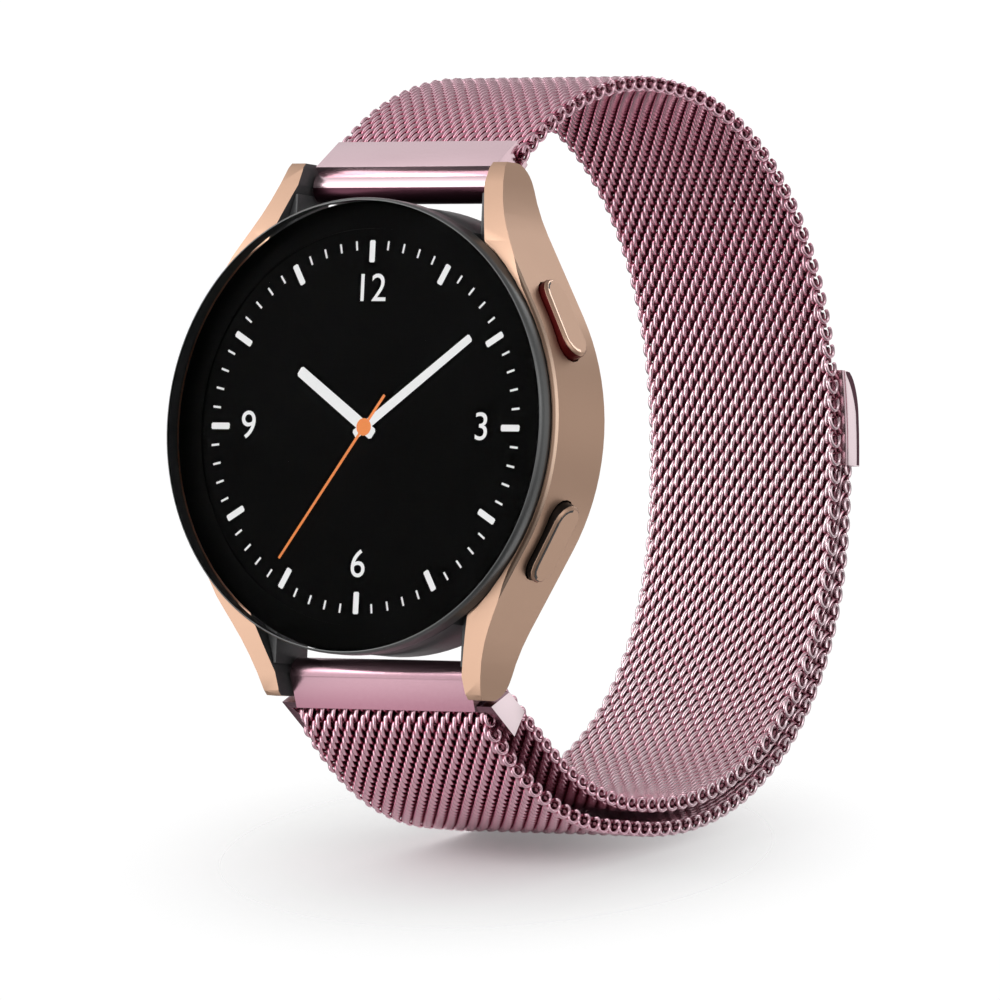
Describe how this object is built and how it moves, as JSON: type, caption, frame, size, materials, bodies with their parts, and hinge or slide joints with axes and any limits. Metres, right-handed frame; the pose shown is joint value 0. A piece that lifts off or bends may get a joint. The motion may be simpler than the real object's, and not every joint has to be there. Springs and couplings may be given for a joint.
{
  "type": "smartwatch",
  "caption": "Round smartwatch with side push buttons, on a woven-mesh loop band that folds through a slotted connector and closes with a magnetic clasp.",
  "frame": {"origin": "centre of the sensor window's flat rear face, which rests on the wrist", "axes": "+X to 3 o'clock, +Y to the wrist, +Z to 12 o'clock"},
  "size_m": [0.04, 0.0648, 0.0661],
  "materials": {
    "pink_gold": "satin anodised",
    "black_glass": "polished, black inside",
    "display": "dark layers",
    "rubber": "matt",
    "black_plastic": "moulded",
    "dark_plastic": "satin",
    "board": "solder mask",
    "cell": "foil pouch",
    "copper": "wound wire",
    "steel": "plain",
    "rose_steel": "polished, rose coated",
    "woven_steel": "woven wire, rose coated"
  },
  "bodies": {
    "head": {"case_frame": "pink_gold", "front_glass": "black_glass", "front_gasket": "rubber", "display_panel": "display", "inner_bracket": "black_plastic", "main_board": "board", "battery": "cell", "shield_can": "steel", "haptic_motor": "steel", "speaker": "black_plastic", "bracket_screw_1": "steel", "bracket_screw_2": "steel", "bracket_screw_3": "steel", "bracket_screw_4": "steel", "charging_coil": "copper", "sensor_board": "board", "sensor_window": "black_glass", "back_cover": "dark_plastic", "back_gasket": "rubber", "upper_saddle": "dark_plastic", "lower_saddle": "dark_plastic", "upper_button_seal": "rubber", "lower_button_seal": "rubber", "upper_switch": "black_plastic", "lower_switch": "black_plastic", "strap_main": "woven_steel", "strap_top_flex": "woven_steel", "strap_fold": "woven_steel"},
    "upper_button": {"upper_button": "pink_gold"},
    "lower_button": {"lower_button": "pink_gold"},
    "top_link": {"top_connector": "rose_steel", "top_bar": "steel", "top_spring": "steel"},
    "top_release": {"top_release": "steel"},
    "bottom_link": {"bottom_loop": "rose_steel", "bottom_bar": "steel", "bottom_spring": "steel"},
    "bottom_release": {"bottom_release": "steel"},
    "tail": {"strap_tail": "woven_steel", "clasp_shell": "rose_steel", "clasp_plate": "rose_steel", "clasp_magnet_1": "steel", "clasp_magnet_2": "steel"}
  },
  "joints": [
    {"name": "upper_button_press", "type": "slide", "parent": "head", "child": "upper_button", "axis": [-0.8829, 0, -0.4695], "range_m": [0, 0.0004], "stiffness_N_per_m": 500},
    {"name": "lower_button_press", "type": "slide", "parent": "head", "child": "lower_button", "axis": [-0.8829, 0, 0.4695], "range_m": [0, 0.0004], "stiffness_N_per_m": 500},
    {"name": "top_link_hinge", "type": "hinge", "parent": "head", "child": "top_link", "pos_m": [0, -0.003, 0.02095], "axis": [1, 0, 0], "range_deg": [-6, 6], "deforming": ["strap_top_flex"]},
    {"name": "bottom_link_hinge", "type": "hinge", "parent": "head", "child": "bottom_link", "pos_m": [0, -0.003, -0.02095], "axis": [1, 0, 0], "range_deg": [-4, 4], "deforming": ["strap_fold"]},
    {"name": "top_release_slide", "type": "slide", "parent": "top_link", "child": "top_release", "axis": [-1, 0, 0], "range_m": [0, 0.0013], "stiffness_N_per_m": 400, "deforming": ["top_spring"]},
    {"name": "bottom_release_slide", "type": "slide", "parent": "bottom_link", "child": "bottom_release", "axis": [-1, 0, 0], "range_m": [0, 0.0013], "stiffness_N_per_m": 400, "deforming": ["bottom_spring"]},
    {"name": "tail_open", "type": "hinge", "parent": "head", "child": "tail", "pos_m": [0, 0.00043, -0.02413], "axis": [-1, 0, 0], "range_deg": [0, 85], "deforming": ["strap_fold"]}
  ]
}
